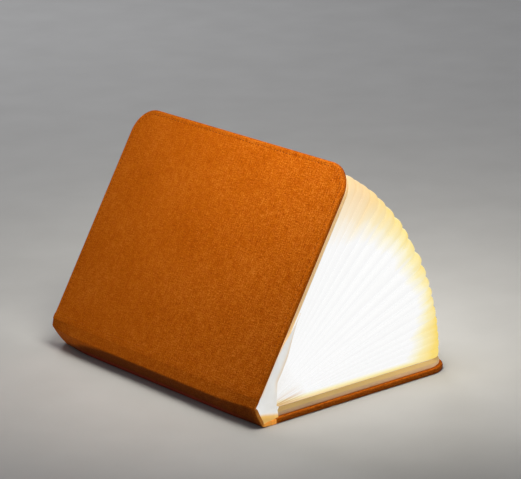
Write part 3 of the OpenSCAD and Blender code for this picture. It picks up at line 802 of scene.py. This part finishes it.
def u_point(s, q, ext):
    """A point of the U: s runs 0 to 5 along the head, corner, fore-edge, corner and tail, q 0 at the outer fold, 1 at the inner."""
    out, y0, y1, r, dp = LEAF_OUT + ext, LEAF_Y, H - LEAF_Y, LEAF_R, LEAF_D + ext * 0.5
    ri = 2.0
    if s > 2.5:
        d, y = u_point(5 - s, q, ext)
        return d, H - y
    if s <= 1:
        o = (LEAF_IN + (out - r - LEAF_IN) * s, y0)
        i = (LEAF_IN + (out - dp - ri - LEAF_IN) * s, y0 + dp)
    elif s <= 2:
        a = -math.pi / 2 + (s - 1) * math.pi / 2
        o = (out - r + r * math.cos(a), y0 + r + r * math.sin(a))
        i = (out - dp - ri + ri * math.cos(a), y0 + dp + ri + ri * math.sin(a))
    else:
        t = (s - 2) / 0.5
        o = (out, y0 + r + (H / 2 - y0 - r) * t)
        i = (out - dp, y0 + dp + ri + (H / 2 - y0 - dp - ri) * t)
    return o[0] + (i[0] - o[0]) * q, o[1] + (i[1] - o[1]) * q


S_PATH = ([i / 34 for i in range(34)] + [1 + i / 9 for i in range(9)] + [2 + i / 44 for i in range(44)]
          + [3 + i / 9 for i in range(9)] + [4 + i / 34 for i in range(35)])


def bellows(name, side, cover, nodes):
    ang = FO if side > 0 else BO
    cols = []          # (w, u, pleat)
    last = -VALLEYS[side][0]
    for p, v in enumerate(VALLEYS[side]):
        for u in ACROSS:
            if (p == 0 and u < 0) or (p > 0 and u == -1.0):
                continue
            cols.append((last + (v - last) * (u + 1) / 2, u, p, (v - last) / 2))
        last = v
    P = np.zeros((len(S_PATH), len(cols), 3))
    glow, loc, wts = [], [], []
    for i, s in enumerate(S_PATH):
        sl = s * 30.0
        for j, (w, u, p, hw) in enumerate(cols):
            key = p * side + (0.5 if side < 0 else 0)
            au = abs(u)
            mid = 1 - abs(w)
            notch = (0.30 + 1.15 * smooth((mid - 0.12) / 0.6)) / 28.0
            q = notch * (au / 0.91) ** 2.4 if au <= 0.91 else notch + (1 - notch) * (au - 0.91) / 0.09
            sw = side * w
            ext = reach(sw) + (0.30 * wave(p * side * 1.7, sl * 0.12) if p > 0 else 0.30 * wave(0, sl * 0.12)) * (1 - q)
            dw = hw * 0.10 * wave(3 + p * side * 2.9, sl * 0.16) * (1 - abs(u)) * (0 if p == 0 else 1)
            d, y = u_point(s, q, ext)
            w2 = w + dw
            l = 3.15 * w2 + 0.14 * smooth((abs(w2) - 0.93) / 0.07)
            a, b = turned(l, d, w2 * ang, side)
            P[i, j] = spine_pt(a, y, b)
            rr = (d - LEAF_IN) / (LEAF_OUT - LEAF_IN)
            fore = min(s, 5 - s)
            edge = max(0.0, min(1.0, rr)) - 0.075 * smooth((fore - 1.55) / 0.5) - 0.12 * smooth((fore - 1.85) / 0.35) * smooth(abs(sw) / 0.6)
            glow.append((edge, sw, q))
            loc.append((sl, q * 28.0, key * 7.0))
            wts.append(w2)
    n, m = len(S_PATH), len(cols)
    du = np.gradient(P, axis=0)
    dv = np.gradient(P, axis=1)
    N = np.cross(du, dv)
    N /= np.maximum(np.linalg.norm(N, axis=2), 1e-9)[..., None]
    th = 0.11
    A = (P + N * th / 2).reshape(-1, 3)
    B = (P - N * th / 2).reshape(-1, 3)
    verts = [tuple(v) for v in A] + [tuple(v) for v in B]
    faces = grid_faces(n, m) + [f[::-1] for f in grid_faces(n, m, n * m)]
    edge = [i * m for i in range(n)] + [(n - 1) * m + j for j in range(1, m)] + [i * m + m - 1 for i in range(n - 2, -1, -1)] + [j for j in range(m - 2, 0, -1)]
    for a, b in zip(edge, edge[1:] + edge[:1]):
        faces.append((a, b, b + n * m, a + n * m))
    o = make(name, verts, faces, PAPER_M, loc=loc * 2, glow=glow * 2, sharp=70)
    c = spine_pt(HD, H / 2, side * HALF)
    e = spine_pt(HD + 10, H / 2, side * HALF)
    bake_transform(o, "spine", cover, tuple(x / 1000 for x in c), tuple(x / 1000 for x in e))
    set_weights(o, [min(1.0, max(0.0, w)) for w in wts] * 2)
    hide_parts(*nodes)
    return o


bellows("bellows_front", 1, "front_cover", ["pleat_%02d" % i for i in range(1, 11)])
bellows("bellows_back", -1, "back_cover", ["pleat_%02d" % i for i in range(11, 21)])


# ----------------------------------------------------------------- gussets
def in_cover(x, z, ang):
    """A point of a cover's frame (along it, in from its outer face) as the spine sees it at rest, lateral taken positive."""
    a, b = turned(HALF - z, HD + x, ang, 1)
    return a, b


def sheet_between(name, side, cover, left, right, node, rows=15, k=49, bump=0.0, warm=None, th=0.14):
    """A thin paper between two lines of (depth, lateral, share of the cover, y), the share 0 moving with the spine, 1 with the cover."""
    def sample(chain):
        C = np.array(chain, float)
        D = np.concatenate([[0], np.cumsum(np.hypot(*np.diff(C[:, :2], axis=0).T))])
        s = np.linspace(0, D[-1], k)
        return np.stack([np.interp(s, D, C[:, i]) for i in range(4)], 1)
    A, B = sample(left), sample(right)
    tail = A[0][3] > H / 2
    sg = -1 if tail else 1
    verts, wts, tone = [], [], []
    for layer in (0.0, th):
        for r in range(rows):
            f = r / (rows - 1)
            for j in range(k):
                p = A[j] + (B[j] - A[j]) * f
                e = math.sin(math.pi * f) * min(1.0, 4 * j / (k - 1))
                yy = p[3] + sg * (layer + bump * e + 0.10 * e * wave(j * 0.35, f * 5.0))
                verts.append(spine_pt(p[0], yy, side * p[1]))
                wts.append(float(p[2]))
                # painted shade along the flap's crease
                crease_shade = smooth((f - 0.62) / 0.38) * smooth((4.0 * j / (k - 1) - 0.9) / 0.8)
                gx, gy = warm(p[0], p[1]) if warm else (0.0, 0.0)
                # painted glow: a warm line along the flap's edge that follows the standing cover
                if warm and side > 0:
                    gx = max(gx, 0.55 * max(0.0, 1 - f / 0.12) * smooth((4.0 * j / (k - 1) - 0.5) / 0.5))
                tone.append((gx, gy, crease_shade if warm and side > 0 else 0.0))
    n = rows * k
    faces = grid_faces(rows, k) + [q[::-1] for q in grid_faces(rows, k, n)]
    edge = [i * k for i in range(rows)] + [(rows - 1) * k + j for j in range(1, k)] + [i * k + k - 1 for i in range(rows - 2, -1, -1)] + [j for j in range(k - 2, 0, -1)]
    for p, q in zip(edge, edge[1:] + edge[:1]):
        faces.append((p, q, q + n, p + n))
    o = make(name, verts, faces, GUSSET_M, glow=tone, sharp=60)
    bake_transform(o, "spine", cover, tuple(x / 1000 for x in spine_pt(HD, H / 2, side * HALF)), tuple(x / 1000 for x in spine_pt(HD + 10, H / 2, side * HALF)))
    set_weights(o, [min(1.0, max(0.0, w)) for w in wts])
    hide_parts(node)
    return o


def inner_face(l, y=1.0):
    return sink(l, y) + turn_in(l, y) - 0.12


def head_front():
    """From the spine's flat over the front wing and hinge, then along the standing cover as a flap that narrows to nothing."""
    c = lambda x, z, w, y: (*in_cover(x, z, FO), w, y)
    left = [(inner_face(0.0), 0.0, 0, 0.75), (inner_face(4.9), 4.9, 0, 0.75), (inner_face(6.6) + 0.75, 6.7, 0, 0.75), (*wing(6.2, 1.75), 0, 0.75),
            (*wing(2.6, 2.75), 0, 0.75), (*wing(0.4, 3.2), 0.45, 0.75), c(2.0, CT + 0.12, 1, 0.75), c(14.0, CT + 0.12, 1, 0.75), c(27.0, CT + 0.15, 1, 0.75),
            c(37.0, CT + 1.2, 1, 0.95), c(47.0, CT + 4.2, 1, 1.6), c(58.0, CT + TT + 0.1, 1, 2.2)]
    right = [(inner_face(0.0), 0.0, 0, 0.75), (8.0, -2.4, 0, 1.8), (13.0, -4.0, 0, 1.95), (17.2, -5.0, 0.0, 2.0),
             c(13.0, 14.0, 0.72, 3.15), c(20.0, 14.3, 0.94, 3.15), c(30.0, 14.0, 1, 3.15), c(44.0, 11.2, 1, 3.1), c(58.0, CT + TT + 0.25, 1, 3.1)]
    # painted glow and shade: the gusset glows warmer and dimmer near the spine
    warm = lambda d, l: (smooth((4.9 - l - 0.89 * d) / 3.4), smooth((3.0 - l - 0.89 * d) / 4.0))
    sheet_between("head_gusset_front", 1, "front_cover", left, right, "head_gusset", bump=0.15, warm=warm)


def head_back():
    """From the spine's flat over the back wing and hinge to the lying cover and the end of its tray."""
    c = lambda x, z, w, y: (*in_cover(x, z, BO), w, y)
    left = [(inner_face(0.0), 0.0, 0, 0.75), (inner_face(-4.9), 4.9, 0, 0.75), (inner_face(-6.6) + 0.75, 6.7, 0, 0.75), (*wing(6.2, 1.75), 0, 0.75),
            (*wing(2.6, 2.75), 0, 0.75), (*wing(0.4, 3.2), 0.45, 0.8), c(2.2, CT + 0.12, 1, 0.9), c(4.6, CT + 0.4, 1, 1.1)]
    right = [(inner_face(0.0), 0.0, 0, 0.75), (8.0, 2.4, 0, 1.8), (13.0, 4.0, 0, 1.95), (17.2, 5.0, 0.0, 2.0),
             c(6.6, CT + TT + 0.25, 1, 2.9), c(4.75, CT + TT - 0.6, 1, 2.3), c(4.7, CT + 0.6, 1, 1.3)]
    # painted glow and shade: the gusset glows warmer and dimmer near the spine
    warm = lambda d, l: (smooth((l - 0.89 * d + 4.9) / 3.4), smooth((l - 0.89 * d + 3.0) / 4.0))
    sheet_between("head_gusset_back", -1, "back_cover", left, right, "head_gusset", bump=0.1, warm=warm)


def tail_side(name, side, ang, cover):
    """Round the bar's end cap: from the bar's walls to the cover and its tray."""
    c = lambda x, z, w: (*in_cover(x, z, ang), w, H - 4.1)
    left = [(11.6, 0.0, 0, H - 4.1), (11.6, 8.2, 0, H - 4.1), (7.6, 8.4, 0, H - 4.1), (7.3, 10.2, 0, H - 4.1), (8.5, 11.3, 0.4, H - 4.1), c(GAP, CT + 0.12, 1), c(TS - 0.4, CT + 0.2, 1)]
    right = [(12.4, 0.0, 0, H - 4.1), (LEAF_IN - 0.3, 3.0, 0, H - 4.1), c(TS + 0.4, CT + TT + 0.3, 1), c(TS - 0.3, CT + TT - 0.5, 1), c(TS - 0.3, CT + 0.6, 1)]
    sheet_between(name, side, cover, left, right, "tail_gusset", rows=9, k=33)


head_front()
head_back()
tail_side("tail_gusset_front", 1, FO, "front_cover")
tail_side("tail_gusset_back", -1, BO, "back_cover")

# ------------------------------------------------------------------- stage
fl = Mat("floor_paper")
fn = fl.noise(fl.object_mm(), 0.02, 3.0, 0.5)
fl.link(fl.ramp(fn, [(0.3, (0.51, 0.50, 0.49)), (0.7, (0.54, 0.53, 0.52))]), fl.b.inputs["Base Color"])
fl.b.inputs["Roughness"].default_value = 0.9
fl.b.inputs["Specular IOR Level"].default_value = 0.1
me = bpy.data.meshes.new("floor")
me.from_pydata([(-6, -6, -0.0001), (6, -6, -0.0001), (6, 6, -0.0001), (-6, 6, -0.0001)], [], [(0, 1, 2, 3)])
floor = bpy.data.objects.new("floor", me)
me.materials.append(fl.m)
bpy.context.scene.collection.objects.link(floor)

world = bpy.data.worlds.new("studio")
bpy.context.scene.world = world
world.use_nodes = True
world.node_tree.nodes["Background"].inputs[0].default_value = (0.93, 0.95, 1.0, 1.0)
world.node_tree.nodes["Background"].inputs[1].default_value = 0.20


def area(name, place, target, size, power, color=(1, 1, 1), spread=180):
    li = bpy.data.lights.new(name, "AREA")
    li.shape = "DISK"
    li.size = size
    li.energy = power
    li.spread = math.radians(spread)
    li.color = color
    o = bpy.data.objects.new(name, li)
    o.location = place
    o.rotation_euler = (Vector(target) - Vector(place)).to_track_quat("-Z", "Y").to_euler()
    o.visible_camera = False
    bpy.context.scene.collection.objects.link(o)


area("key", (-0.03, -0.14, 0.42), (0.06, 0.01, 0.16), 0.28, 0.87, (1.0, 0.97, 0.88), 108)
area("rim", (0.5, 1.3, 1.0), (0, 0, 0.08), 0.6, 7, (0.95, 0.97, 1.0))

# ------------------------------------------------------------------ camera
AZ, EL, ROLL = math.radians(-39.685), math.radians(17.188), math.radians(-1.012)
DIST, FPX, CX, CY, TX, TZ = 1.795574, 2714.065, 284.512, 247.052, 0.100071, 0.06952
back = Vector((math.sin(AZ) * math.cos(EL), -math.cos(AZ) * math.cos(EL), math.sin(EL)))
right = Vector((math.cos(AZ), math.sin(AZ), 0))
up = back.cross(right)
r2 = right * math.cos(ROLL) + up * math.sin(ROLL)
u2 = -right * math.sin(ROLL) + up * math.cos(ROLL)
cam = bpy.data.cameras.new("camera")
cam.sensor_width = 36.0
cam.sensor_fit = "HORIZONTAL"
cam.lens = FPX / 521 * 36.0
cam.shift_x = -(CX - 260.5) / 521
cam.shift_y = (CY - 239.5) / 521
cam.clip_end = 50
co = bpy.data.objects.new("camera", cam)
pos = Vector((TX - XM / 1000, 0.0, TZ)) + back * DIST
co.matrix_world = Matrix((
    (r2.x, u2.x, back.x, pos.x), (r2.y, u2.y, back.y, pos.y), (r2.z, u2.z, back.z, pos.z), (0, 0, 0, 1)))
bpy.context.scene.collection.objects.link(co)
bpy.context.scene.camera = co
bpy.context.scene.view_settings.view_transform = "Standard"
